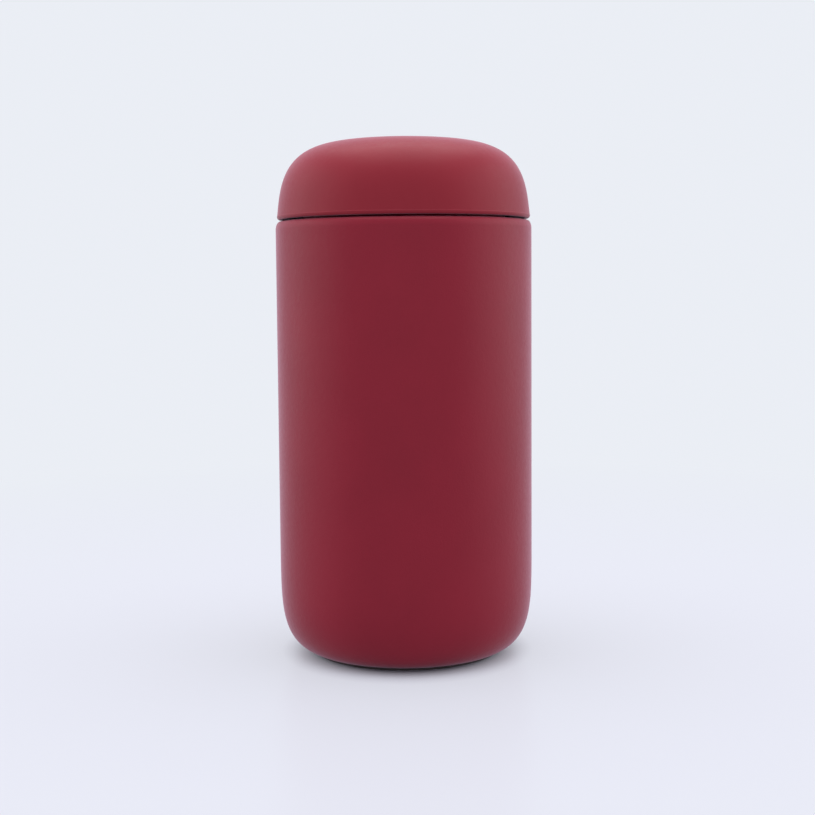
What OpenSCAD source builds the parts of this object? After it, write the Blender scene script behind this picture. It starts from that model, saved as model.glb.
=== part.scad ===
// Double-wall insulated tumbler with a domed screw lid and a lift-out splash guard.
// Millimetres, +Z up. The origin is on the axis, in the plane that the foot pad stands on.

/* [Cup] */
// Outer diameter of the straight wall
body_d = 74; // [73:0.5:78]
// Height of the flat shoulder under the lid
shoulder_h = 125.5; // [120:0.5:130]
// Rounding of the shoulder's outer edge
shoulder_round = 1.8; // [1.4:0.1:2.6]
// Height at which the curved bottom becomes the straight wall
corner_h = 39.5; // [36:0.5:44]
// Thickness of the steel sheet
sheet = 0.5; // [0.4:0.1:0.6]
// Space between the outer wall and the liner
vacuum_gap = 3; // [2.5:0.1:4]
// Height of the floor inside the cup
floor_h = 9; // [8.8:0.1:12]

/* [Neck and thread] */
// Outer radius of the neck between its threads
neck_r = 29.4; // [29:0.1:29.6]
// Height of the neck's end, under the drinking lip
neck_top = 137.6; // [137.4:0.1:137.8]
// Rise of the lid in one full turn
lead = 12; // [11:0.5:13]
// Number of thread starts
starts = 3; // [2:1:3]
// How far each thread runs round the neck, in degrees
thread_sweep = 144; // [100:4:144]
// Height of a thread above its wall
thread_depth = 1.1; // [0.8:0.1:1.2]

/* [Foot] */
// Outer radius of the ring on which the outer wall ends
foot_r = 28; // [27:0.5:29]
// Radius of the silicone foot pad
pad_r = 27.4; // [26:0.1:27.4]
// Depth of the hollow under the foot pad
pad_hollow = 0.4; // [0.2:0.1:0.6]

/* [Lid] */
// Diameter of the lid at its lower edge
lid_d = 73.2; // [73:0.1:74]
// Height of the lid
lid_h = 22.6; // [22.4:0.1:24]
// Open line between the shoulder and the lid
lid_gap = 0.6; // [0.4:0.1:0.8]
// Rounding of the lid's lower edge
lid_edge = 0.95; // [0.7:0.05:1.3]
// Wall of the lid's outer cover
lid_wall = 1.5; // [1.2:0.1:1.6]

/* [Splash guard] */
// Number of drinking slots
slots = 4; // [3:1:5]
// Width of a drinking slot
slot_w = 5.2; // [4.5:0.1:5.4]
// Length of a drinking slot round the guard, in degrees
slot_sweep = 48; // [30:2:48]

/* [Hidden] */
$fn = 96;

// The curved bottom is a superellipse: flat under the cup, ever steeper towards the wall.
corner_flat_r = 24.5;
corner_flat_z = 0.49;
corner_across = 2.2;
corner_up = 5.7;
corner_steps = 20;
// The lid's dome is a superellipse on a wall that leans in.
lid_lean = 0.097;
dome_across = 4.29;
dome_up = 3.34;
dome_steps = 24;
arc_steps = 6;

body_r = body_d / 2;
liner_r = body_r - sheet - vacuum_gap;
liner_flat_r = 20;

// Foot: the wall's folded rim, the flange inside it, and the stack glued under the flange.
flange_z = 1.6;
flange_hole_r = 24;
rim_r = pad_r + 0.1;
tape = 0.15;
tape_inner_r = 17;
cap_raised_r = 15;
cap_rise = 0.6;
pad_hollow_r = 20;

// Vacuum closure: a rim on the flange, a raised plateau and a dimple with the pump-out hole.
base_rim_r = 29;
base_z = flange_z + sheet;
plateau_z = base_z + 2.5;
plateau_r = 18.5;
dimple_r = 4.6;
dimple_z = plateau_z + 1;
pump_hole_r = 0.7;
getter_x = 11.5;
getter_r = 4.5;
getter_h = 2;
clip_t = 0.3;
clip_w = 4;
clip_foot = 2.6;

// Liner: its shoulder bends in under the cup's, and its neck stands inside the cup's neck.
liner_neck_r = neck_r - sheet - 0.3;
liner_bend_z = shoulder_h - 12.5;
liner_neck_z = shoulder_h - 2.5;
lip_top = neck_top + 0.8;
lip_round = 0.4;
foil = 0.1;
foil_margin = 2.5;

// Threads: a ridge is wide at its wall and narrow at its crest.
ridge_root = 0.9;
ridge_crest = 0.45;
ridge_bury = 0.25;
ridge_steps = 18;
neck_thread_z = shoulder_h + 4.1;
thread_play = 1.4;
thread_from = 20;
lid_bore_r = neck_r + thread_depth + 0.3;
lid_thread_z = neck_thread_z - thread_play;

// Lid: heights of its pieces above the cup's parts that they meet.
lid_r = lid_d / 2;
lid_z = shoulder_h + lid_gap;
liner_wall = 1.4;
liner_flange_z = lid_z + 0.3;
liner_flange_t = 1.2;
liner_flange_r = lid_r - lid_wall - 0.2;
seal_z = lip_top + 0.05;
seal_inner_r = 27.6;
seal_outer_r = 30.2;
seal_top = seal_z + 1.75;
seal_play = 0.15;
ceiling_z = seal_z + 0.75;
groove_top = seal_top + seal_play;
ceiling_top = groove_top + 1.25;
ceiling_rim_r = 29.8;
foam_z = ceiling_z + 1.5;
foam_r = 26;
foam_edge_z = foam_z + 2.3;
foam_top_r = 18.5;
foam_top = lid_z + lid_h - lid_wall - 1;

// Guard: a shallow cup with a knob, held in the neck by its ring.
guard_r = liner_neck_r - sheet - 0.6;
guard_wall_r = guard_r - 1.9;
guard_z = shoulder_h + 2.1;
guard_floor_z = guard_z + 2.4;
guard_floor_t = 1.4;
guard_top = neck_top - 0.8;
guard_ring_z = guard_z + 1;
guard_ring_h = 2.4;
guard_ring_r = guard_r - 0.7;
guard_ring_reach = liner_neck_r - sheet - 0.1;
slot_r = guard_wall_r - 0.9 - slot_w / 2;
knob_r = 5.8;
knob_stem_r = 2.8;
chamfer = 0.4;

// Points of a round stretch: centre, radius, first and last angle.
function arc(r, z, radius, from, to) =
    [for (i = [0:arc_steps]) let (a = from + (to - from) * i / arc_steps)
        [r + radius * cos(a), z + radius * sin(a)]];

// The curved bottom, from angle `from` to the straight wall at radius wall_r.
function corner(flat_r, wall_r, flat_z, from = 0) =
    [for (i = [0:corner_steps]) let (a = from + (90 - from) * i / corner_steps)
        [flat_r + (wall_r - flat_r) * pow(sin(a), 2 / corner_across),
         flat_z + (corner_h - flat_z) * (1 - pow(cos(a), 2 / corner_up))]];

// Angle at which a curved bottom reaches a radius, and at which it reaches a height.
function corner_at_r(r) = asin(pow((r - corner_flat_r) / (body_r - corner_flat_r), corner_across / 2));
function corner_at_z(z, flat_z) = acos(pow((corner_h - z) / (corner_h - flat_z), corner_up / 2));

// The dome of a lid of radius r and height h.
function dome(r, h) =
    [for (i = [0:dome_steps]) let (a = 90 * i / dome_steps, z = h * pow(sin(a), 2 / dome_up))
        [(r - lid_lean * z) * pow(cos(a), 2 / dome_across), z]];

// A smooth bend from one radius and height to another.
function bend(r1, z1, r2, z2) =
    [for (i = [0:corner_steps]) let (t = i / corner_steps)
        [r2 + (r1 - r2) * (1 + cos(180 * t)) / 2, z1 + (z2 - z1) * t]];

function reversed(points) = [for (i = [len(points) - 1:-1:0]) points[i]];

foot_h = corner(corner_flat_r, body_r, corner_flat_z, corner_at_r(foot_r))[0][1];

module lathe(points) {
    rotate_extrude() polygon(points);
}

// One thread ridge from root_r to crest_r, rising by the lead, with run-outs at both ends.
module ridge(root_r, crest_r, z) {
    out = sign(crest_r - root_r);
    buried_r = root_r - out * ridge_bury;
    points = [for (i = [0:ridge_steps])
        let (a = thread_sweep * i / ridge_steps,
             full = min(1, (1 + i) / 3, (1 + ridge_steps - i) / 3),
             r = root_r + full * (crest_r - root_r),
             w = ridge_root + (ridge_crest - ridge_root) * full,
             section = [[buried_r, -ridge_root], [r, -w], [r, w], [buried_r, ridge_root]])
        for (p = section) [p[0] * cos(a), p[0] * sin(a), z + lead * a / 360 + p[1]]];
    sides = [for (i = [0:ridge_steps - 1], j = [0:3])
        let (k = (j + 1) % 4, p = 4 * i)
        for (f = [[p + j, p + 4 + j, p + 4 + k], [p + j, p + 4 + k, p + k]]) f];
    last = 4 * ridge_steps;
    caps = [[0, 1, 2], [0, 2, 3], [last, last + 2, last + 1], [last, last + 3, last + 2]];
    faces = concat(sides, caps);
    polyhedron(points, out > 0 ? [for (f = faces) reversed(f)] : faces);
}

module thread(root_r, crest_r, z) {
    for (i = [0:starts - 1]) {
        rotate(thread_from + 360 * i / starts) ridge(root_r, crest_r, z);
    }
}

module outer_shell() {
    wall_out = corner(corner_flat_r, body_r, corner_flat_z, corner_at_r(foot_r));
    shoulder_out = arc(body_r - shoulder_round, shoulder_h - shoulder_round, shoulder_round, 0, 90);
    neck = [[neck_r, shoulder_h], [neck_r, neck_top],
        [neck_r - sheet, neck_top], [neck_r - sheet, shoulder_h - sheet]];
    shoulder_in = arc(body_r - shoulder_round, shoulder_h - shoulder_round, shoulder_round - sheet, 90, 0);
    inner_z = corner_flat_z + sheet;
    wall_in = corner(corner_flat_r, body_r - sheet, inner_z, corner_at_z(base_z, inner_z));
    flange = [[flange_hole_r, base_z], [flange_hole_r, flange_z], [rim_r, flange_z], [rim_r, foot_h + 0.1]];
    color("#7a2532") union() {
        lathe(concat(wall_out, shoulder_out, neck, shoulder_in, reversed(wall_in), flange));
        thread(neck_r, neck_r + thread_depth, neck_thread_z);
    }
}

module outer_base() {
    color("#b9babb") lathe([
        [base_rim_r, base_z], [base_rim_r, base_z + sheet],
        [plateau_r + 3.3, base_z + sheet], [plateau_r + 0.3, plateau_z + sheet],
        [dimple_r + 0.6, plateau_z + sheet], [dimple_r - 0.2, dimple_z + sheet],
        [pump_hole_r, dimple_z + sheet], [pump_hole_r, dimple_z],
        [dimple_r - 0.8, dimple_z], [dimple_r, plateau_z],
        [plateau_r, plateau_z], [plateau_r + 3, base_z]]);
}

module vacuum_plug() {
    color("#4a4440") lathe([
        [0, dimple_z - 0.8], [2.4, dimple_z - 0.7], [3.4, dimple_z - 0.3], [dimple_r - 1, dimple_z],
        [pump_hole_r, dimple_z], [pump_hole_r, dimple_z + sheet], [0, dimple_z + sheet]]);
}

module getter_pellet() {
    low = plateau_z + sheet;
    color("#5c5d60") translate([getter_x, 0, low]) lathe([
        [0, 0], [getter_r, 0], [getter_r, getter_h - chamfer], [getter_r - chamfer, getter_h], [0, getter_h]]);
}

module getter_clip() {
    low = plateau_z + sheet;
    inner = getter_r + 0.1;
    outer = inner + clip_t;
    foot = outer + clip_foot;
    top = getter_h + clip_t;
    color("#c4c5c6") translate([getter_x - clip_w / 2, 0, low]) rotate([90, 0, 90])
        linear_extrude(clip_w) polygon([
            [-foot, 0], [-inner, 0], [-inner, getter_h], [inner, getter_h], [inner, 0], [foot, 0],
            [foot, clip_t], [outer, clip_t], [outer, top], [-outer, top], [-outer, clip_t], [-foot, clip_t]]);
}

module inner_liner() {
    inner_r = liner_r - sheet;
    neck_in_r = liner_neck_r - sheet;
    lip = concat(
        [[liner_neck_r, neck_top], [neck_r, neck_top]],
        arc(neck_r - lip_round, lip_top - lip_round, lip_round, 0, 90),
        arc(neck_in_r + lip_round, lip_top - lip_round, lip_round, 90, 180));
    color("#c6c7c8") lathe(concat(
        [[liner_r, corner_h]],
        bend(liner_r, liner_bend_z, liner_neck_r, liner_neck_z),
        lip,
        reversed(bend(inner_r, liner_bend_z, neck_in_r, liner_neck_z)),
        [[inner_r, corner_h]]));
}

module liner_bottom() {
    color("#c0c1c2") lathe(concat(
        [[0, floor_h - sheet]],
        corner(liner_flat_r, liner_r, floor_h - sheet),
        reversed(corner(liner_flat_r, liner_r - sheet, floor_h)),
        [[0, floor_h]]));
}

module copper_foil() {
    low = corner_h + foil_margin;
    high = liner_bend_z - foil_margin;
    color("#c77b4e") lathe([
        [liner_r, low], [liner_r + foil, low], [liner_r + foil, high], [liner_r, high]]);
}

module base_cap() {
    edge = flange_hole_r - 0.1;
    color("#aeb0b2") lathe([
        [0, flange_z + cap_rise], [cap_raised_r, flange_z + cap_rise], [cap_raised_r + 0.8, flange_z],
        [edge, flange_z], [edge, flange_z + sheet], [cap_raised_r + 1.1, flange_z + sheet],
        [cap_raised_r + 0.3, flange_z + cap_rise + sheet], [0, flange_z + cap_rise + sheet]]);
}

module pad_adhesive() {
    color("#d8d3c8") lathe([
        [tape_inner_r, flange_z - tape], [pad_r - 0.3, flange_z - tape],
        [pad_r - 0.3, flange_z], [tape_inner_r, flange_z]]);
}

module base_pad() {
    top = flange_z - tape;
    color("#2c1c1f") lathe([
        [0, pad_hollow], [pad_hollow_r, pad_hollow], [pad_hollow_r + pad_hollow, 0],
        [pad_r - chamfer, 0], [pad_r, chamfer], [pad_r, top], [0, top]]);
}

module lid_shell() {
    side_r = lid_r - lid_lean * lid_edge;
    dome_out = [for (p = dome(lid_r, lid_h)) if (p[1] > lid_edge) p];
    dome_in = dome(lid_r - lid_wall, lid_h - lid_wall);
    color("#802a34") translate([0, 0, lid_z]) lathe(concat(
        arc(side_r - lid_edge, lid_edge, lid_edge, -90, 0), dome_out, reversed(dome_in)));
}

module lid_liner() {
    outer_r = lid_bore_r + liner_wall;
    neck_clear = neck_top + 0.4;
    color("#2b2a2c") union() {
        lathe([
            [lid_bore_r, liner_flange_z], [liner_flange_r, liner_flange_z],
            [liner_flange_r, liner_flange_z + liner_flange_t], [outer_r, liner_flange_z + liner_flange_t],
            [outer_r, neck_clear], [ceiling_rim_r, ceiling_top], [foam_r + 1, ceiling_top],
            [foam_r + 0.4, foam_z], [0, foam_z], [0, ceiling_z],
            [seal_inner_r - seal_play, ceiling_z], [seal_inner_r - seal_play, groove_top],
            [seal_outer_r + seal_play, groove_top], [seal_outer_r + seal_play, neck_clear],
            [lid_bore_r, neck_clear]]);
        thread(lid_bore_r, lid_bore_r - thread_depth, lid_thread_z);
    }
}

module lid_foam() {
    color("#e9e6dd") lathe([
        [0, foam_z], [foam_r, foam_z], [foam_r, foam_edge_z], [foam_top_r, foam_top], [0, foam_top]]);
}

module lid_seal() {
    color("#3a3a3c") lathe([
        [seal_inner_r, seal_z + 0.3], [seal_inner_r + chamfer, seal_z], [seal_outer_r - chamfer, seal_z],
        [seal_outer_r, seal_z + 0.3], [seal_outer_r, seal_top], [seal_inner_r, seal_top]]);
}

module guard_disc() {
    floor_top = guard_floor_z + guard_floor_t;
    ring_top = guard_ring_z + guard_ring_h;
    color("#333235") difference() {
        lathe([
            [0, guard_floor_z], [guard_wall_r, guard_floor_z], [guard_wall_r, guard_z],
            [guard_r - chamfer, guard_z], [guard_r, guard_z + chamfer], [guard_r, guard_ring_z],
            [guard_ring_r, guard_ring_z], [guard_ring_r, ring_top], [guard_r, ring_top],
            [guard_r, guard_top - chamfer], [guard_r - chamfer, guard_top],
            [guard_wall_r + chamfer, guard_top], [guard_wall_r, guard_top - chamfer],
            [guard_wall_r, floor_top], [knob_stem_r + 0.4, floor_top], [knob_stem_r, floor_top + 2],
            [knob_r - 0.2, floor_top + 3.6], [knob_r, floor_top + 4.4],
            [knob_r - 0.6, floor_top + 5.2], [0, floor_top + 5.6]]);
        for (i = [0:slots - 1]) {
            rotate(360 * i / slots) drinking_slot();
        }
    }
}

// A curved slot with round ends, cut through the guard's floor.
module drinking_slot() {
    ends = slot_sweep / 2 - asin(slot_w / 2 / slot_r);
    translate([0, 0, guard_floor_z - 1]) {
        rotate(-ends) rotate_extrude(angle = 2 * ends) translate([slot_r - slot_w / 2, 0])
            square([slot_w, guard_floor_t + 2]);
        for (side = [-1, 1]) {
            rotate(side * ends) translate([slot_r, 0, 0]) cylinder(h = guard_floor_t + 2, d = slot_w);
        }
    }
}

module guard_seal() {
    middle = guard_ring_z + guard_ring_h / 2;
    top = guard_ring_z + guard_ring_h;
    color("#3a3a3c") lathe([
        [guard_ring_r, guard_ring_z], [guard_r, guard_ring_z], [guard_ring_reach, guard_ring_z + 0.6],
        [guard_r + 0.1, middle], [guard_ring_reach, top - 0.6], [guard_r, top], [guard_ring_r, top]]);
}

outer_shell();
outer_base();
vacuum_plug();
getter_pellet();
getter_clip();
inner_liner();
liner_bottom();
copper_foil();
base_cap();
pad_adhesive();
base_pad();
lid_shell();
lid_liner();
lid_foam();
lid_seal();
guard_disc();
guard_seal();
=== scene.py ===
"""Looks of the insulated tumbler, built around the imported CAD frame.

Lengths are in metres, in the frame's own axes: +Z up along the tumbler, the origin under its foot.
"""

import math

import bmesh
import bpy
from mathutils import Matrix, Vector


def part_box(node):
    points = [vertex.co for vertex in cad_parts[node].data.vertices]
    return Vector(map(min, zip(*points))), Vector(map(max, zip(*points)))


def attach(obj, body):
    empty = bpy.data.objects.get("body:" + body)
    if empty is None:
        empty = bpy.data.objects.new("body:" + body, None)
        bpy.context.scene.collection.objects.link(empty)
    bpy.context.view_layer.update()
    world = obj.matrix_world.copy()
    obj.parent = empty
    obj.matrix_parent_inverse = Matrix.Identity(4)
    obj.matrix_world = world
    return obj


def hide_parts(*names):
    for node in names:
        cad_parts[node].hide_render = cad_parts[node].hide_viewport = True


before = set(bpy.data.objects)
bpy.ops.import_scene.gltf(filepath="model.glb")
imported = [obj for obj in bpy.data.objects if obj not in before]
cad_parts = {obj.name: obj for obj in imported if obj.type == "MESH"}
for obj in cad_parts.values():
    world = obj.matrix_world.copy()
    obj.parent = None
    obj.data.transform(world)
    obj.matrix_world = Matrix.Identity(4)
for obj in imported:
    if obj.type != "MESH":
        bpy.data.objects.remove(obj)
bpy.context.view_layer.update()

MM = 0.001
SEGMENTS = 192
# Two points that are closer than this are one.
TOUCH = 1e-7


# ---------------------------------------------------------------- sizes taken from the frame


def low(node):
    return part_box(node)[0].z


def high(node):
    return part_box(node)[1].z


def reach(node):
    """Radius of a round node."""
    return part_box(node)[1].x


BODY_R = reach("outer_shell")
FOOT_Z = low("outer_shell")
NECK_TOP = high("outer_shell")
BASE_Z = low("outer_base")
LINER_R = reach("inner_liner")
LIP_TOP = high("inner_liner")
LINER_SEAM_Z = high("liner_bottom")
LINER_FLOOR_Z = low("liner_bottom")
LID_Z = low("lid_shell")
LID_TOP = high("lid_shell")
GUARD_R = reach("guard_disc")


# ---------------------------------------------------------------- sizes that the frame's boxes don't give

# The steel sheet of the cup's two walls.
SHEET = 0.5 * MM

# The exponents of the superellipse that the two walls' bottoms follow, out to the side and upwards.
BOTTOM_ACROSS, BOTTOM_UP = 2.2, 5.7

# The cup's foot: a folded rim round the bore that holds the pad.
FOOT_R = 28 * MM
FOOT_BORE_R = 27.5 * MM

# The cup's shoulder under the lid, the rounding of its edge, and the height at which the coat ends.
LID_GAP = 0.6 * MM
SHOULDER_Z = LID_Z - LID_GAP
SHOULDER_IN = 1.2 * MM
SHOULDER_DOWN = 2.4 * MM
PAINT_TOP = SHOULDER_Z + 1.6 * MM

# The necks of the outer wall and of the liner inside it.
NECK_R = 29.4 * MM
LINER_NECK_R = NECK_R - SHEET - 0.3 * MM
LINER_BORE_R = LINER_NECK_R - SHEET

# The weld between the liner and its bottom, a shallow groove on the inside.
SEAM_DEPTH = 0.06 * MM
SEAM_HALF_WIDTH = 0.12 * MM

# The thread. The lid's ridges run a little below the neck's.
STARTS = 3
LEAD = 12 * MM
THREAD_SWEEP = math.radians(144)
THREAD_FROM = math.radians(20)
THREAD_DEPTH = 1.1 * MM
RIDGE_HALF_WIDTH = 0.9 * MM
NECK_THREAD_Z = SHOULDER_Z + 4.1 * MM
THREAD_PLAY = 1.4 * MM
LID_BORE_R = NECK_R + THREAD_DEPTH + 0.3 * MM

# The lid's wall leans in by this share of its height.
LID_LEAN = 0.097

# The splash guard: its wall, the floor that its slots go through, and the groove that holds its ring.
GUARD_WALL_R = GUARD_R - 1.9 * MM
GUARD_FLOOR_Z = low("guard_disc") + 2.4 * MM
GUARD_FLOOR = 1.4 * MM
GROOVE_R = GUARD_R - 0.7 * MM


# ---------------------------------------------------------------- outlines


def angles_between(first, last, steps):
    return [first + (last - first) * i / steps for i in range(steps + 1)]


def ease(t):
    """Falls smoothly from 1 to 0 while t goes from 0 to 1."""
    return (1 + math.cos(math.pi * t)) / 2


def arc(centre, across, up, first, last, steps):
    """Part of an ellipse, from one angle to another."""
    angles = angles_between(first, last, steps)
    return [(centre[0] + across * math.cos(a), centre[1] + up * math.sin(a)) for a in angles]


def curved_bottom(flat_r, wall_r, flat_z, wall_z, first=0.0, steps=40):
    """A quarter of a superellipse, or less of it: from an angle, 0 at the flat, up to the straight wall."""
    points = []
    for a in angles_between(first, math.pi / 2, steps):
        radius = flat_r + (wall_r - flat_r) * math.sin(a) ** (2 / BOTTOM_ACROSS)
        height = flat_z + (wall_z - flat_z) * (1 - max(0.0, math.cos(a)) ** (2 / BOTTOM_UP))
        points.append((radius, height))
    return points


def dome(base_r, base_z, top_z, steps=64):
    """A wall that leans in and closes in a flat dome, which ends on the axis."""
    across, up = 4.29, 3.34
    points = []
    for a in angles_between(0, math.pi / 2, steps)[:-1]:
        z = (top_z - base_z) * math.sin(a) ** (2 / up)
        points.append(((base_r - LID_LEAN * z) * math.cos(a) ** (2 / across), base_z + z))
    return points + [(0, top_z)]


def bend(from_r, from_z, to_r, to_z, steps=32):
    """A smooth S-bend from one radius and height to another."""
    points = []
    for i in range(steps + 1):
        t = i / steps
        points.append((to_r + (from_r - to_r) * ease(t), from_z + (to_z - from_z) * t))
    return points


def rounded(corners, steps=6):
    """An outline of (radius, height, rounding) corners, each curved unless its rounding is 0."""
    points = []
    count = len(corners)
    for i, (radius, height, rounding) in enumerate(corners):
        if rounding == 0:
            points.append((radius, height))
            continue
        here = Vector((radius, height))
        to_before = Vector(corners[i - 1][:2]) - here
        to_after = Vector(corners[(i + 1) % count][:2]) - here
        cut = rounding / math.tan(to_before.angle(to_after) / 2)
        cut = min(cut, 0.48 * to_before.length, 0.48 * to_after.length)
        start = here + to_before.normalized() * cut
        end = here + to_after.normalized() * cut
        for k in range(steps + 1):
            t = k / steps
            point = start * (1 - t) ** 2 + here * 2 * t * (1 - t) + end * t**2
            points.append((point.x, point.y))
    return points


# ---------------------------------------------------------------- mesh making


def new_object(name, mesh):
    """Puts a bmesh into the scene as an object."""
    data = bpy.data.meshes.new(name)
    mesh.to_mesh(data)
    mesh.free()
    made = bpy.data.objects.new(name, data)
    bpy.context.scene.collection.objects.link(made)
    return made


def shade_smooth(piece, sharp):
    """Smooths a piece's shading, except over edges that turn by more than sharp degrees."""
    piece.data.polygons.foreach_set("use_smooth", [True] * len(piece.data.polygons))
    piece.data.set_sharp_from_angle(angle=math.radians(sharp))


def keep_flats(piece):
    """Keeps flat faces flat in the shading beside rounded edges."""
    weighted = piece.modifiers.new("flats", "WEIGHTED_NORMAL")
    weighted.keep_sharp = True


def finish_mesh(name, mesh, sharp=32):
    """Turns a bmesh into a smooth object whose flats stay flat."""
    bmesh.ops.remove_doubles(mesh, verts=mesh.verts, dist=TOUCH)
    bmesh.ops.recalc_face_normals(mesh, faces=mesh.faces)
    piece = new_object(name, mesh)
    shade_smooth(piece, sharp)
    keep_flats(piece)
    return piece


def lathe(name, outline, segments=SEGMENTS):
    """A surface of revolution of an outline that is closed or ends on the axis."""
    mesh = bmesh.new()
    angles = [2 * math.pi * k / segments for k in range(segments)]
    rings = []
    for radius, height in outline:
        spots = [(0, 0, height)]
        if radius >= TOUCH:
            spots = [(radius * math.cos(a), radius * math.sin(a), height) for a in angles]
        rings.append([mesh.verts.new(spot) for spot in spots])
    for ring, following in zip(rings, rings[1:] + rings[:1]):
        if len(ring) == 1 and len(following) == 1:
            continue
        for k in range(segments):
            n = (k + 1) % segments
            if len(ring) == 1:
                mesh.faces.new((ring[0], following[k], following[n]))
            elif len(following) == 1:
                mesh.faces.new((ring[k], ring[n], following[0]))
            else:
                mesh.faces.new((ring[k], ring[n], following[n], following[k]))
    return finish_mesh(name, mesh)


def ridge_section(root_r, crest_r, rise, across=10):
    """(radius, height) points over a thread ridge that has risen by a share, the last one inside the wall."""
    side = math.copysign(1, crest_r - root_r)
    edge_r = root_r - side * 0.12 * MM
    points = []
    for k in range(across + 1):
        u = 2 * k / across - 1
        swell = math.cos(math.pi / 2 * u) ** 0.8 if abs(u) < 1 else 0.0
        points.append((edge_r + (crest_r - edge_r) * rise * swell, RIDGE_HALF_WIDTH * u))
    return points + [(root_r - side * 0.3 * MM, 0)]


def thread(name, root_r, crest_r, base_z, steps=72):
    """The rolled thread: rounded ridges that rise by the lead and run out at both ends."""
    run_out = 1 / 8
    mesh = bmesh.new()
    for start in range(STARTS):
        sections = []
        for i in range(steps + 1):
            t = i / steps
            a = THREAD_FROM + 2 * math.pi * start / STARTS + THREAD_SWEEP * t
            z = base_z + LEAD * THREAD_SWEEP * t / (2 * math.pi)
            rise = math.sin(math.pi / 2 * min(1.0, t / run_out, (1 - t) / run_out))
            section = ridge_section(root_r, crest_r, rise)
            sections.append([mesh.verts.new((r * math.cos(a), r * math.sin(a), z + up)) for r, up in section])
        for before, after in zip(sections, sections[1:]):
            for k in range(len(before)):
                n = (k + 1) % len(before)
                mesh.faces.new((before[k], before[n], after[n], after[k]))
        mesh.faces.new(sections[0])
        mesh.faces.new(sections[-1])
    return finish_mesh(name, mesh, sharp=60)


def give(piece, *materials):
    """Sets a piece's materials, the first on every face."""
    piece.data.materials.clear()
    for material in materials:
        piece.data.materials.append(material)


def place(piece, body, slot, *nodes):
    """Attaches a piece to the body it rides on and hides the CAD nodes it stands for; slot is not used."""
    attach(piece, body)
    if nodes:
        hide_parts(*nodes)


# ---------------------------------------------------------------- materials

# Most of a noise texture's values lie between these two.
NOISE_LOW, NOISE_HIGH = 0.3, 0.7

# Scales of a brushed grain that runs round the axis, and of one that runs up and down.
ROUND_GRAIN = (40, 40, 5200)
UPRIGHT_GRAIN = (4200, 4200, 30)


class Shader:
    """A Principled material and short ways to add texture nodes to it."""

    def __init__(self, name, colour, roughness, metallic=0.0, specular=0.5):
        self.material = bpy.data.materials.new(name)
        self.material.use_nodes = True
        self.tree = self.material.node_tree
        self.principled = self.tree.nodes["Principled BSDF"]
        self.put("Base Color", (*colour, 1))
        self.put("Roughness", roughness)
        self.put("Metallic", metallic)
        self.put("Specular IOR Level", specular)
        self.colour = colour
        self.roughness = roughness
        self.relief = None

    def put(self, socket, value):
        self.principled.inputs[socket].default_value = value

    def node(self, kind, **settings):
        made = self.tree.nodes.new(kind)
        for key, value in settings.items():
            setattr(made, key, value)
        return made

    def link(self, output, target):
        self.tree.links.new(output, target)

    def coordinates(self, scale):
        """Object coordinates, scaled along each axis: features per metre."""
        coords = self.node("ShaderNodeTexCoord")
        mapping = self.node("ShaderNodeMapping")
        mapping.inputs["Scale"].default_value = scale
        self.link(coords.outputs["Object"], mapping.inputs["Vector"])
        return mapping.outputs["Vector"]

    def noise(self, scale, detail=2.0, rough=0.5):
        """Noise with features about 1/scale metres across. The scale is one number or one for each axis."""
        noise = self.node("ShaderNodeTexNoise")
        noise.inputs["Scale"].default_value = 1.0
        noise.inputs["Detail"].default_value = detail
        noise.inputs["Roughness"].default_value = rough
        along_axes = scale if isinstance(scale, tuple) else (scale, scale, scale)
        self.link(self.coordinates(along_axes), noise.inputs["Vector"])
        return noise.outputs["Fac"]

    def remap(self, value, low_in, high_in, low_out, high_out):
        """Carries one range of values over to another, and stops at its ends."""
        made = self.node("ShaderNodeMapRange")
        limits = {"From Min": low_in, "From Max": high_in, "To Min": low_out, "To Max": high_out}
        for socket, number in limits.items():
            made.inputs[socket].default_value = number
        self.link(value, made.inputs["Value"])
        return made.outputs["Result"]

    def sum(self, first, second):
        add = self.node("ShaderNodeMath", operation="ADD")
        self.link(first, add.inputs[0])
        self.link(second, add.inputs[1])
        return add.outputs["Value"]

    def tint(self, share, darker, lighter):
        """Colour that drifts between two multiples of the base colour as a share goes from 0 to 1."""
        mix = self.node("ShaderNodeMix", data_type="RGBA")
        mix.inputs["A"].default_value = (*[min(1.0, c * darker) for c in self.colour], 1)
        mix.inputs["B"].default_value = (*[min(1.0, c * lighter) for c in self.colour], 1)
        self.link(share, mix.inputs["Factor"])
        self.link(mix.outputs["Result"], self.principled.inputs["Base Color"])

    def tint_by_noise(self, noise, darker, lighter):
        self.tint(self.remap(noise, NOISE_LOW, NOISE_HIGH, 0, 1), darker, lighter)

    def vary_roughness(self, noise, spread):
        out = self.remap(noise, NOISE_LOW, NOISE_HIGH, self.roughness - spread, self.roughness + spread)
        self.link(out, self.principled.inputs["Roughness"])

    def bump(self, height, depth):
        """Adds a relief of the given depth in metres on top of the ones already there."""
        bump = self.node("ShaderNodeBump")
        bump.inputs["Distance"].default_value = depth
        self.link(height, bump.inputs["Height"])
        if self.relief is not None:
            self.link(self.relief, bump.inputs["Normal"])
        self.relief = bump.outputs["Normal"]
        self.link(self.relief, self.principled.inputs["Normal"])


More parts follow.
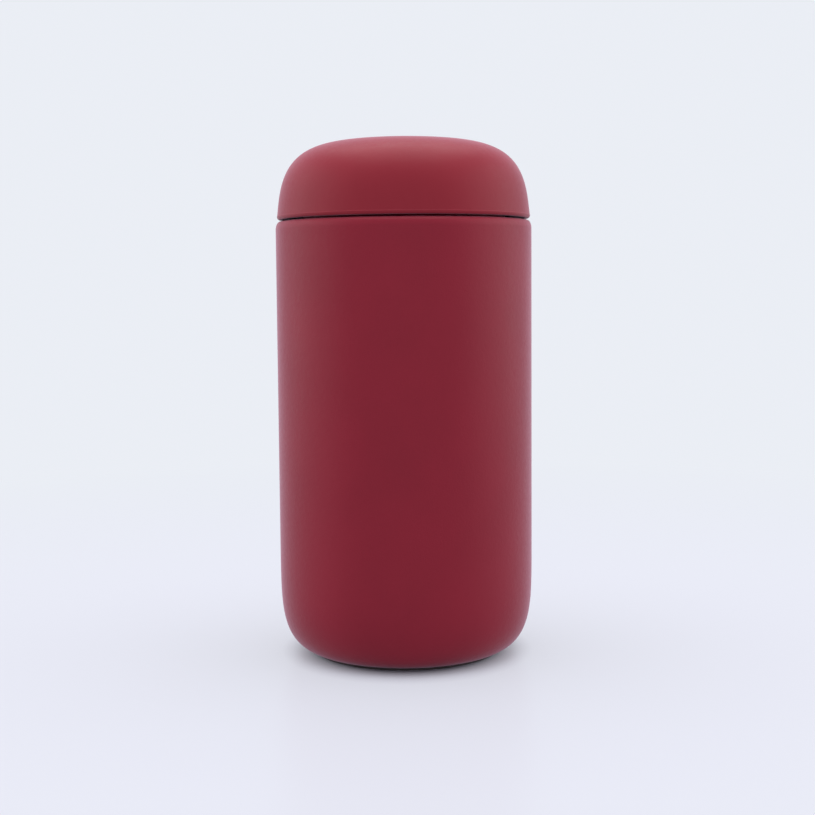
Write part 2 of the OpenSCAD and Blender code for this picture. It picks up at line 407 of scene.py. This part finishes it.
def powder_coat(name, colour, roughness, specular, sheen, depth):
    """Baked powder: an orange-peel skin with a fine grain in it and a soft bloom at the edges."""
    shader = Shader(name, colour, roughness, specular=specular)
    shader.put("Sheen Weight", sheen)
    shader.put("Sheen Roughness", 0.35)
    shader.put("Sheen Tint", (1, 0.7, 0.93, 1))
    shader.tint_by_noise(shader.noise((55, 55, 40), 3), 0.96, 1.04)
    shader.vary_roughness(shader.noise(900, 3), 0.04)
    shader.bump(shader.noise(620), 1.6 * depth)
    shader.bump(shader.noise(2100), depth)
    return shader.material


def turned_steel(name, colour, roughness, grain_scale):
    """Stainless steel with a brushed grain and a slight waviness."""
    shader = Shader(name, colour, roughness, metallic=1.0)
    grain = shader.noise(grain_scale, 3, 0.6)
    shader.tint_by_noise(grain, 0.9, 1.06)
    shader.vary_roughness(grain, 0.07)
    shader.bump(grain, 0.006 * MM)
    shader.bump(shader.noise(90), 0.02 * MM)
    return shader.material


def silicone(name, colour, roughness):
    """Moulded silicone: a dull skin with a dusty drift."""
    shader = Shader(name, colour, roughness)
    shader.put("Sheen Weight", 0.15)
    shader.tint_by_noise(shader.noise(160, 4), 0.85, 1.25)
    shader.vary_roughness(shader.noise(700, 3), 0.06)
    shader.bump(shader.noise(2600), 0.008 * MM)
    return shader.material


def moulded_plastic(name, colour, roughness):
    """Moulded plastic with a spark-eroded texture."""
    shader = Shader(name, colour, roughness)
    shader.tint_by_noise(shader.noise(120, 3), 0.92, 1.1)
    shader.vary_roughness(shader.noise(1500), 0.05)
    shader.bump(shader.noise(3000, 3), 0.012 * MM)
    return shader.material


def foam_beads(name, colour):
    """Bead foam: cells about 1.4 mm across with dark joints."""
    shader = Shader(name, colour, 0.75)
    cells = shader.node("ShaderNodeTexVoronoi")
    cells.inputs["Scale"].default_value = 1.0
    shader.link(shader.coordinates((700, 700, 700)), cells.inputs["Vector"])
    from_middle = cells.outputs["Distance"]
    shader.tint(shader.remap(from_middle, 0.2, 0.7, 1, 0), 0.82, 1.05)
    shader.bump(shader.remap(from_middle, 0, 0.7, 1, 0), 0.12 * MM)
    return shader.material


def copper_sheet(name, colour):
    """Thin foil with the creases of its wrapping."""
    shader = Shader(name, colour, 0.28, metallic=1.0)
    creases = shader.noise((120, 120, 60), 5, 0.6)
    shader.tint_by_noise(creases, 0.85, 1.1)
    shader.vary_roughness(creases, 0.08)
    shader.bump(creases, 0.3 * MM)
    return shader.material


def grainy(name, colour, roughness, grain, depth, metallic=0.0):
    """A sintered, fused or fibrous surface, with so many grains per metre."""
    shader = Shader(name, colour, roughness, metallic=metallic)
    speckle = shader.noise(grain, 4, 0.7)
    shader.tint_by_noise(speckle, 0.7, 1.35)
    shader.vary_roughness(speckle, 0.1)
    shader.bump(speckle, depth)
    return shader.material


CUP_RED = (0.178, 0.009, 0.0205)
LID_RED = (0.181, 0.0125, 0.0215)

cup_coat = powder_coat("cup_powder_coat", CUP_RED, 0.42, specular=0.12, sheen=0.26, depth=0.02 * MM)
lid_coat = powder_coat("lid_soft_coat", LID_RED, 0.44, specular=0.1, sheen=0.2, depth=0.015 * MM)
neck_steel = turned_steel("neck_steel", (0.5, 0.495, 0.48), 0.32, ROUND_GRAIN)
liner_steel = turned_steel("liner_steel", (0.62, 0.61, 0.59), 0.26, ROUND_GRAIN)
drawn_steel = turned_steel("drawn_steel", (0.56, 0.56, 0.55), 0.34, UPRIGHT_GRAIN)
foot_silicone = silicone("foot_moulding", (0.022, 0.009, 0.011), 0.62)
seal_silicone = silicone("ring_moulding", (0.05, 0.05, 0.055), 0.42)
inner_cup_plastic = moulded_plastic("inner_cup_moulding", (0.018, 0.015, 0.016), 0.46)
guard_plastic = moulded_plastic("guard_moulding", (0.034, 0.033, 0.036), 0.36)


# ---------------------------------------------------------------- cup


def make_outer_shell():
    """Outer wall: folded foot rim, curved bottom, straight wall, shoulder and neck."""
    flat_r, flat_z, wall_z = 24.5 * MM, 0.49 * MM, LINER_SEAM_Z
    # The bottom curve starts at the foot's radius on the outside, and a little further up on the inside.
    foot_angle = math.asin(((FOOT_R - flat_r) / (BODY_R - flat_r)) ** (BOTTOM_ACROSS / 2))
    inside_angle = 0.62
    wall = curved_bottom(flat_r, BODY_R, flat_z, wall_z, foot_angle)
    edge_r, edge_z = BODY_R - SHOULDER_IN, SHOULDER_Z - SHOULDER_DOWN
    shoulder = arc((edge_r, edge_z), SHOULDER_IN, SHOULDER_DOWN, 0, math.pi / 2, 16)
    neck = bend(NECK_R + 0.5 * MM, SHOULDER_Z, NECK_R, SHOULDER_Z + 0.5 * MM, 5)
    neck += [(NECK_R, PAINT_TOP), (NECK_R, NECK_TOP)]
    neck += [(NECK_R - SHEET, NECK_TOP), (NECK_R - SHEET, SHOULDER_Z - SHEET)]
    inside = [(edge_r, SHOULDER_Z - SHEET), (BODY_R - SHEET, edge_z)]
    inside += reversed(curved_bottom(flat_r, BODY_R - SHEET, flat_z + SHEET, wall_z, inside_angle))
    flange_r, flange_z = 24 * MM, BASE_Z - SHEET
    flange = [(flange_r, BASE_Z), (flange_r, flange_z), (FOOT_BORE_R, flange_z)]
    rim = [
        (FOOT_BORE_R, FOOT_Z + 0.25 * MM),
        (FOOT_BORE_R + 0.12 * MM, FOOT_Z + 0.05 * MM),
        (FOOT_R - 0.2 * MM, FOOT_Z),
    ]
    return lathe("cup_shell", wall + shoulder + neck + inside + flange + rim)


def is_bare(spot):
    """Whether a spot of the outer wall has no coat: round and inside the neck, and in the foot's bore."""
    radius = math.hypot(spot.x, spot.y)
    above_coat = spot.z > PAINT_TOP
    in_neck = spot.z > SHOULDER_Z - 1 * MM and radius < NECK_R - 0.1 * MM
    in_foot = spot.z < BASE_Z and radius < FOOT_BORE_R + 0.2 * MM
    return above_coat or in_neck or in_foot


shell = make_outer_shell()
give(shell, cup_coat, neck_steel)
for face in shell.data.polygons:
    face.material_index = 1 if is_bare(face.center) else 0
place(shell, "cup", "coated_steel", "outer_shell")

neck_thread = thread("neck_thread", NECK_R, NECK_R + THREAD_DEPTH, NECK_THREAD_Z)
give(neck_thread, neck_steel)
place(neck_thread, "cup", "steel")


def make_liner():
    """Inner wall with its shoulder, neck and rolled drinking lip."""
    inner_r = LINER_R - SHEET
    bend_z, neck_z = SHOULDER_Z - 12.5 * MM, SHOULDER_Z - 2.5 * MM
    lip_round = 0.42 * MM
    outside = [(LINER_R, LINER_SEAM_Z)] + bend(LINER_R, bend_z, LINER_NECK_R, neck_z)
    lip = [
        (LINER_NECK_R, NECK_TOP, 0),
        (NECK_R, NECK_TOP, 0.1 * MM),
        (NECK_R, LIP_TOP, lip_round),
        (LINER_BORE_R, LIP_TOP, lip_round),
        (LINER_BORE_R, NECK_TOP - 2 * MM, 0),
    ]
    inside = bend(LINER_BORE_R, neck_z, inner_r, bend_z)
    seam = [(inner_r, LINER_SEAM_Z + SEAM_HALF_WIDTH), (inner_r + SEAM_DEPTH, LINER_SEAM_Z)]
    return lathe("cup_liner", outside + rounded(lip, 8) + inside + seam)


def make_liner_bottom():
    """Deep-drawn pan with a flat floor that closes the liner."""
    flat_r, inner_r, floor_top = 20 * MM, LINER_R - SHEET, LINER_FLOOR_Z + SHEET
    outside = [(0, LINER_FLOOR_Z)] + curved_bottom(flat_r, LINER_R, LINER_FLOOR_Z, LINER_SEAM_Z)
    seam = [(inner_r + SEAM_DEPTH, LINER_SEAM_Z), (inner_r, LINER_SEAM_Z - SEAM_HALF_WIDTH)]
    inside = reversed(curved_bottom(flat_r, inner_r, floor_top, LINER_SEAM_Z))
    inside = [point for point in inside if point[1] < LINER_SEAM_Z - 0.2 * MM]
    floor = [(0.75 * flat_r, floor_top), (0, floor_top)]
    return lathe("cup_liner_bottom", outside + seam + inside + floor)


liner = make_liner()
give(liner, liner_steel)
place(liner, "cup", "steel", "inner_liner")

liner_bottom = make_liner_bottom()
give(liner_bottom, liner_steel)
place(liner_bottom, "cup", "steel", "liner_bottom")


def make_foot_pad():
    """Silicone foot: a ring with a shallow hollow inside it and one grip groove."""
    outer_r, top = reach("base_pad"), high("base_pad")
    hollow_r, hollow = 19.8 * MM, 0.4 * MM
    grip_r, grip = 23.65 * MM, 0.25 * MM
    corners = [
        (0, hollow, 0),
        (hollow_r, hollow, 0.15 * MM),
        (hollow_r + 0.5 * MM, 0, 0.2 * MM),
        (grip_r - 0.45 * MM, 0, 0.12 * MM),
        (grip_r - 0.25 * MM, grip, 0.1 * MM),
        (grip_r + 0.25 * MM, grip, 0.1 * MM),
        (grip_r + 0.45 * MM, 0, 0.12 * MM),
        (outer_r, 0, 0.45 * MM),
        (outer_r, top, 0.15 * MM),
        (0, top, 0),
    ]
    return lathe("foot_pad", rounded(corners))


foot_pad = make_foot_pad()
give(foot_pad, foot_silicone)
place(foot_pad, "cup", "foot_silicone", "base_pad")


# ---------------------------------------------------------------- lid


def make_lid_shell():
    """Domed cover whose rim band stands a hair proud and turns in at its lower edge."""
    base_r, wall = 36.6 * MM, 1.5 * MM
    edge_in, edge_up = 0.65 * MM, 0.9 * MM
    band, step, proud = 0.92 * MM, 0.2 * MM, 0.07 * MM
    edge_r = base_r - LID_LEAN * edge_up + proud - edge_in
    rim = arc((edge_r, LID_Z + edge_up), edge_in, edge_up, -math.pi / 2, 0, 12)
    for i in range(9):
        t = i / 8
        z = band + step * t
        rim.append((base_r - LID_LEAN * z + proud * ease(t), LID_Z + z))
    outside = [point for point in dome(base_r, LID_Z, LID_TOP) if point[1] > LID_Z + band + 1.5 * step]
    inside = list(reversed(dome(base_r - wall, LID_Z, LID_TOP - wall)))
    return lathe("lid_cover", rim + outside + inside)


lid_cover = make_lid_shell()
give(lid_cover, lid_coat)
place(lid_cover, "lid", "lid_paint", "lid_shell")


def make_lid_liner():
    """Inner threaded cup with the groove that holds the sealing ring and a gate mark in its ceiling."""
    flange_r, flange_z, top = reach("lid_liner"), low("lid_liner"), high("lid_liner")
    flange_top = flange_z + 1.2 * MM
    outer_r = LID_BORE_R + 1.4 * MM
    clear_z = NECK_TOP + 0.4 * MM
    crown_out, crown_in = 29.8 * MM, 27 * MM
    recess_r, recess_z = 26.4 * MM, low("lid_foam")
    ceiling = low("lid_seal") + 0.75 * MM
    gate_r, gate_top = 1.4 * MM, ceiling + 0.3 * MM
    groove_in, groove_out, groove_top = 27.45 * MM, 30.35 * MM, high("lid_seal") + 0.15 * MM
    corners = [
        (LID_BORE_R, flange_z, 0.3 * MM),
        (flange_r, flange_z, 0.2 * MM),
        (flange_r, flange_top, 0.2 * MM),
        (outer_r, flange_top, 0.4 * MM),
        (outer_r, clear_z, 0.5 * MM),
        (crown_out, top, 0.3 * MM),
        (crown_in, top, 0.2 * MM),
        (recess_r, recess_z, 0.2 * MM),
        (0, recess_z, 0),
        (0, gate_top, 0),
        (gate_r, gate_top, 0.1 * MM),
        (gate_r + 0.2 * MM, ceiling, 0.1 * MM),
        (groove_in, ceiling, 0.25 * MM),
        (groove_in, groove_top, 0),
        (groove_out, groove_top, 0),
        (groove_out, clear_z, 0.15 * MM),
        (LID_BORE_R, clear_z, 0.1 * MM),
    ]
    return lathe("lid_inner_cup", rounded(corners))


lid_liner = make_lid_liner()
give(lid_liner, inner_cup_plastic)
place(lid_liner, "lid", "liner_plastic", "lid_liner")

lid_thread = thread("lid_inner_thread", LID_BORE_R, LID_BORE_R - THREAD_DEPTH, NECK_THREAD_Z - THREAD_PLAY)
give(lid_thread, inner_cup_plastic)
place(lid_thread, "lid", "liner_plastic")


def make_lid_seal():
    """Flat ring, bevelled below, whose lower face meets the drinking lip."""
    inner_r, outer_r = 27.6 * MM, reach("lid_seal")
    bottom, top = low("lid_seal"), high("lid_seal")
    bevel_side, bevel_up = 0.5 * MM, 0.35 * MM
    corners = [
        (inner_r, bottom + bevel_up, 0.15 * MM),
        (inner_r + bevel_side, bottom, 0.25 * MM),
        (outer_r - bevel_side, bottom, 0.25 * MM),
        (outer_r, bottom + bevel_up, 0.15 * MM),
        (outer_r, top, 0.2 * MM),
        (inner_r, top, 0.2 * MM),
    ]
    return lathe("lid_sealing_ring", rounded(corners))


lid_seal = make_lid_seal()
give(lid_seal, seal_silicone)
place(lid_seal, "seal_ring", "seal_silicone", "lid_seal")


# ---------------------------------------------------------------- splash guard


def slot_outline(angle):
    """A curved slot with round ends, as (x, y) points."""
    half_width, sweep = 2.6 * MM, math.radians(48)
    middle_r = GUARD_WALL_R - 0.9 * MM - half_width
    half_sweep = sweep / 2 - math.asin(half_width / middle_r)
    start, stop = angle - half_sweep, angle + half_sweep

    def long_side(radius, first, last):
        return arc((0, 0), radius, radius, first, last, 24)

    def round_end(at, first):
        centre = (middle_r * math.cos(at), middle_r * math.sin(at))
        return arc(centre, half_width, half_width, first, first + math.pi, 12)[1:-1]

    outline = long_side(middle_r + half_width, start, stop) + round_end(stop, stop)
    outline += long_side(middle_r - half_width, stop, start) + round_end(start, start + math.pi)
    return outline


def slot_cutter(angle):
    """A slot's solid, standing through the guard's floor and past it above and below."""
    past = 1 * MM
    mesh = bmesh.new()
    bottom = [mesh.verts.new((x, y, GUARD_FLOOR_Z - past)) for x, y in slot_outline(angle)]
    face = mesh.faces.new(bottom)
    grown = bmesh.ops.extrude_face_region(mesh, geom=[face])
    raised = [item for item in grown["geom"] if isinstance(item, bmesh.types.BMVert)]
    bmesh.ops.translate(mesh, verts=raised, vec=(0, 0, GUARD_FLOOR + 2 * past))
    bmesh.ops.recalc_face_normals(mesh, faces=mesh.faces)
    return new_object("slot_cutter", mesh)


def apply_modifiers(piece):
    """Bakes a piece's modifiers into its mesh."""
    depsgraph = bpy.context.evaluated_depsgraph_get()
    baked = bpy.data.meshes.new_from_object(piece.evaluated_get(depsgraph))
    piece.modifiers.clear()
    piece.data = baked


def cut_slots(guard, count=4):
    """Cuts the drinking slots and bevels their edges."""
    cutters = [slot_cutter(2 * math.pi * i / count) for i in range(count)]
    for cutter in cutters:
        cut = guard.modifiers.new("slot", "BOOLEAN")
        cut.operation = "DIFFERENCE"
        cut.solver = "EXACT"
        cut.object = cutter
    soften = guard.modifiers.new("slot_edges", "BEVEL")
    soften.limit_method = "ANGLE"
    soften.angle_limit = math.radians(60)
    soften.width = 0.25 * MM
    soften.segments = 3
    apply_modifiers(guard)
    for cutter in cutters:
        bpy.data.objects.remove(cutter)


def make_guard():
    """Shallow cup with a pull knob, a ring groove and four drinking slots."""
    bottom, top = low("guard_disc"), high("guard_disc")
    floor_top = GUARD_FLOOR_Z + GUARD_FLOOR
    rim_z = NECK_TOP - 0.8 * MM
    ring_bottom, ring_top = low("guard_seal"), high("guard_seal")
    stem_r, knob_r, crown_r = 2.8 * MM, 5.8 * MM, 2.6 * MM
    corners = [
        (0, GUARD_FLOOR_Z, 0),
        (GUARD_WALL_R, GUARD_FLOOR_Z, 0.5 * MM),
        (GUARD_WALL_R, bottom, 0.3 * MM),
        (GUARD_R, bottom, 0.5 * MM),
        (GUARD_R, ring_bottom, 0.1 * MM),
        (GROOVE_R, ring_bottom, 0),
        (GROOVE_R, ring_top, 0),
        (GUARD_R, ring_top, 0.1 * MM),
        (GUARD_R, rim_z, 0.5 * MM),
        (GUARD_WALL_R, rim_z, 0.5 * MM),
        (GUARD_WALL_R, floor_top, 0.8 * MM),
        (stem_r + 0.4 * MM, floor_top, 0.6 * MM),
        (stem_r, floor_top + 2 * MM, 0.8 * MM),
        (knob_r, floor_top + 3.5 * MM, 0.4 * MM),
        (knob_r, floor_top + 5 * MM, 0.9 * MM),
        (crown_r, top, 1.5 * MM),
        (0, top, 0),
    ]
    guard = lathe("guard_cup", rounded(corners, 7), 144)
    guard.modifiers.clear()
    cut_slots(guard)
    keep_flats(guard)
    return guard


guard = make_guard()
give(guard, guard_plastic)
place(guard, "guard", "guard_plastic", "guard_disc")


def make_guard_seal():
    """Ring with two soft lips that press on the neck."""
    bottom, top = low("guard_seal"), high("guard_seal")
    lip_r, lip_height = reach("guard_seal"), 0.6 * MM
    web_r = GROOVE_R + 0.75 * MM
    corners = [
        (GROOVE_R, bottom, 0),
        (web_r, bottom, 0.1 * MM),
        (lip_r, bottom + lip_height, 0.15 * MM),
        (web_r, (bottom + top) / 2, 0.15 * MM),
        (lip_r, top - lip_height, 0.15 * MM),
        (web_r, top, 0.1 * MM),
        (GROOVE_R, top, 0),
    ]
    return lathe("guard_ring", rounded(corners))


guard_seal = make_guard_seal()
give(guard_seal, seal_silicone)
place(guard_seal, "guard", "seal_silicone", "guard_seal")


# ---------------------------------------------------------------- pieces that keep their CAD shape

solder = grainy("solder_bead", (0.07, 0.06, 0.05), 0.35, grain=900, depth=0.02 * MM)
getter = grainy("sintered_getter", (0.11, 0.11, 0.12), 0.7, grain=2200, depth=0.04 * MM, metallic=0.6)
copper = copper_sheet("copper_foil_wrap", (0.78, 0.4, 0.26))
adhesive = grainy("adhesive_tape", (0.68, 0.65, 0.58), 0.6, grain=1400, depth=0.01 * MM)
foam = foam_beads("lid_bead_foam", (0.8, 0.78, 0.72))

CAD_PIECES = {
    "outer_base": drawn_steel,
    "base_cap": drawn_steel,
    "getter_clip": drawn_steel,
    "vacuum_plug": solder,
    "getter_pellet": getter,
    "copper_foil": copper,
    "pad_adhesive": adhesive,
    "lid_foam": foam,
}
for node, material in CAD_PIECES.items():
    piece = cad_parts[node]
    give(piece, material)
    shade_smooth(piece, sharp=30)


# ---------------------------------------------------------------- stage, light and camera

BACKDROP = (0.828, 0.855, 0.912)
FLOOR_RADIUS = 2.5

# The floor glows in the backdrop's colour, a painted light and not a lamp: not at all under the foot, by
# FLOOR_GLOW outside the contact shadow, and fully where the floor has faded out. Where the glow is missing
# beside the foot, it leaves a painted contact shadow.
FLOOR_GLOW = 0.55
SHADOW_FROM, SHADOW_TO = 28.5 * MM, 41.5 * MM
FADE_FROM, FADE_TO = 120 * MM, 450 * MM
# The painted shadow that the missing glow leaves is this much narrower from side to side than from front to
# back.
SHADOW_SQUEEZE = 1.12


def make_floor_paper():
    """Pale paper that fades from a lit surface into a painted glow in the backdrop's own tone."""
    shader = Shader("floor_paper", (0.405, 0.399, 0.466), 0.3, specular=0.12)
    distance = shader.node("ShaderNodeVectorMath", operation="LENGTH")
    shader.link(shader.coordinates((SHADOW_SQUEEZE, 1, 1)), distance.inputs[0])
    # Painted glow: none under the foot, rising outside it, so that it paints a tight contact shadow.
    near = shader.remap(distance.outputs["Value"], SHADOW_FROM, SHADOW_TO, 0, FLOOR_GLOW)
    far = shader.remap(distance.outputs["Value"], FADE_FROM, FADE_TO, 0, 1 - FLOOR_GLOW)
    glow = shader.node("ShaderNodeEmission")
    glow.inputs["Color"].default_value = (*BACKDROP, 1)
    blend = shader.node("ShaderNodeMixShader")
    shader.link(shader.sum(near, far), blend.inputs["Fac"])
    shader.link(shader.principled.outputs["BSDF"], blend.inputs[1])
    shader.link(glow.outputs["Emission"], blend.inputs[2])
    shader.link(blend.outputs["Shader"], shader.tree.nodes["Material Output"].inputs["Surface"])
    return shader.material


def make_floor():
    mesh = bmesh.new()
    bmesh.ops.create_circle(mesh, cap_ends=True, segments=128, radius=FLOOR_RADIUS)
    floor = new_object("floor", mesh)
    give(floor, make_floor_paper())


def make_world(strength):
    world = bpy.data.worlds.new("studio")
    world.use_nodes = True
    background = world.node_tree.nodes["Background"]
    background.inputs["Color"].default_value = (*BACKDROP, 1)
    background.inputs["Strength"].default_value = strength
    bpy.context.scene.world = world


def softbox(name, place_at, aim_at, size, power):
    light = bpy.data.lights.new(name, "AREA")
    light.shape = "RECTANGLE"
    light.size, light.size_y = size
    light.energy = power
    lamp = bpy.data.objects.new(name, light)
    lamp.visible_camera = False
    lamp.location = place_at
    lamp.rotation_euler = (Vector(aim_at) - Vector(place_at)).to_track_quat("-Z", "Y").to_euler()
    bpy.context.scene.collection.objects.link(lamp)


def make_camera(place_at, look_down, roll, lens):
    """A camera on the tumbler's front side, which looks along +Y and down by an angle."""
    camera = bpy.data.cameras.new("camera")
    camera.lens = lens
    camera.sensor_width = 36
    camera.clip_start = 0.01
    eye = bpy.data.objects.new("camera", camera)
    pitch = math.radians(90) - look_down
    turn = Matrix.Rotation(pitch, 4, "X") @ Matrix.Rotation(roll, 4, "Z")
    eye.matrix_world = Matrix.Translation(place_at) @ turn
    bpy.context.scene.collection.objects.link(eye)
    bpy.context.scene.camera = eye


make_floor()
make_world(strength=1.0)
softbox("overhead", place_at=(0, 0.05, 0.9), aim_at=(0, 0, 0.1), size=(0.9, 0.9), power=9.9)
softbox("left_side", place_at=(-0.8, 0, 0.25), aim_at=(0, 0, 0.08), size=(0.9, 0.9), power=4.4)
softbox("right_side", place_at=(0.8, 0, 0.25), aim_at=(0, 0, 0.08), size=(0.9, 0.9), power=4.9)
softbox("front_fill", place_at=(0, -0.9, 0.12), aim_at=(0, 0, 0.05), size=(1.2, 0.5), power=0.6)
# The photograph's viewpoint: close, a little above the tumbler's middle, looking slightly down.
make_camera((0.73 * MM, -424.3 * MM, 107.8 * MM), math.radians(4.91), math.radians(-0.454), lens=64.13)
bpy.context.scene.view_settings.view_transform = "Standard"
